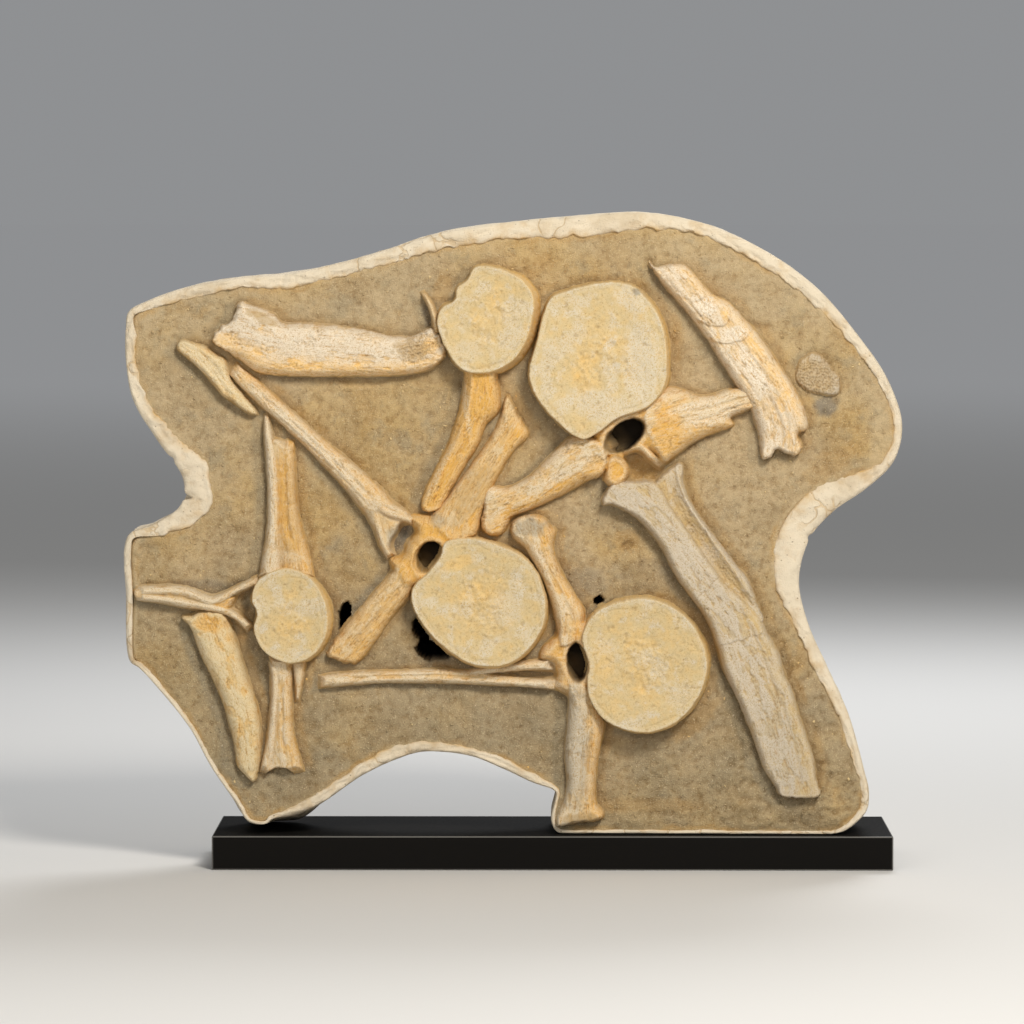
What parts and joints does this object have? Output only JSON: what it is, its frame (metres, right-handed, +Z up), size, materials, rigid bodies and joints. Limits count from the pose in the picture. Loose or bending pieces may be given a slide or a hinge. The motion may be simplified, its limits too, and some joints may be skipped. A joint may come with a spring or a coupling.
{
  "type": "fossil plesiosaur vertebrae and ribs on a sandstone slab",
  "caption": "Slab of sandstone in a plaster jacket with plesiosaur vertebrae and ribs standing in relief, upright on a thin flat black display base.",
  "frame": {"origin": "centre of the display base's underside, which rests on the table", "axes": "+X to the right of the show face, +Y away from the viewer into the slab, +Z up"},
  "size_m": [0.5459, 0.1411, 0.4608],
  "materials": {
    "base": "black satin slab with a fine polished edge",
    "plaster": "lumpy cream plaster with specks and stains",
    "sandstone": "rough tan sandstone with grit",
    "end_face": "pale yellow mineralised bone, matt",
    "cream_bone": "cream fibrous bone with golden stains",
    "gold_bone": "golden stained fibrous bone",
    "rib_bone": "cream fibrous rib bone, cracked and flaked"
  },
  "bodies": {
    "root": {"display_base": "base", "plaster_jacket": "plaster", "sandstone_bed": "sandstone", "vertebra_1_centrum": "end_face", "vertebra_2_centrum": "end_face", "vertebra_3_centrum": "end_face", "vertebra_4_centrum": "end_face", "vertebra_5_centrum": "end_face", "vertebra_2_arch": "gold_bone", "vertebra_3_arch": "gold_bone", "vertebra_5_arch": "gold_bone", "vertebra_1_process": "gold_bone", "vertebra_1_blade": "gold_bone", "vertebra_2_left_process": "cream_bone", "vertebra_2_right_process": "cream_bone", "vertebra_3_upper_process": "gold_bone", "vertebra_3_lower_process": "cream_bone", "vertebra_3_spine": "cream_bone", "vertebra_4_upper_process": "cream_bone", "vertebra_4_lower_process": "cream_bone", "vertebra_4_splinter": "cream_bone", "vertebra_4_spine": "cream_bone", "vertebra_5_upper_process": "cream_bone", "vertebra_5_lower_process": "cream_bone", "vertebra_5_spine": "cream_bone", "rib_1": "rib_bone", "rib_2": "rib_bone", "rib_3": "rib_bone", "rib_4": "rib_bone", "splint": "rib_bone", "spongy_scrap": "rib_bone"}
  },
  "joints": []
}
